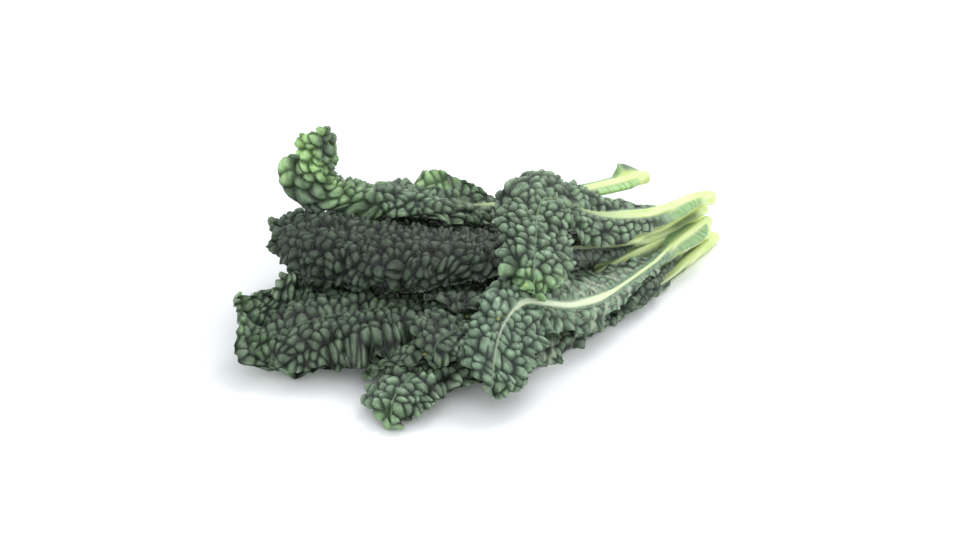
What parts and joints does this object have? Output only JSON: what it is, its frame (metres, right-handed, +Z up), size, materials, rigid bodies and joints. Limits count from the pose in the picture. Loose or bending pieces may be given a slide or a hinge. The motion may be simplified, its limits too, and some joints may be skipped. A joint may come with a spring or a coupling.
{
  "type": "bunch of black kale",
  "caption": "Bunch of long, dark, blistered kale leaves with pale stalks, lying loose on its side, one tip curled up and one leaf folded over the front.",
  "frame": {"origin": "middle of the bunch's footprint, on the surface it lies on", "axes": "+X along the bunch from the leaf tips to the cut stalks, +Y towards its far side, +Z up"},
  "size_m": [0.4134, 0.2414, 0.1355],
  "materials": {
    "dark_leaf": "blistered blue-green blade with a waxy bloom, pale yellow-green midrib and stalk",
    "veined_leaf": "greyer blade with a whitish midrib and a net of pale veins",
    "light_tipped_leaf": "dark blade with light green curled tip and frilled margin, pale midrib and stalk"
  },
  "bodies": {
    "root": {"hooked_front_leaf": "dark_leaf", "low_front_leaf": "dark_leaf", "outer_left_leaf": "dark_leaf", "front_floor_leaf": "veined_leaf", "short_side_leaf": "dark_leaf", "broad_front_leaf": "dark_leaf", "cupped_tip_leaf": "dark_leaf", "shaded_middle_leaf": "dark_leaf", "white_rib_leaf": "veined_leaf", "left_end_leaf": "dark_leaf", "long_centre_leaf": "dark_leaf", "curled_tip_leaf": "light_tipped_leaf", "folded_leaf": "dark_leaf"}
  },
  "joints": []
}
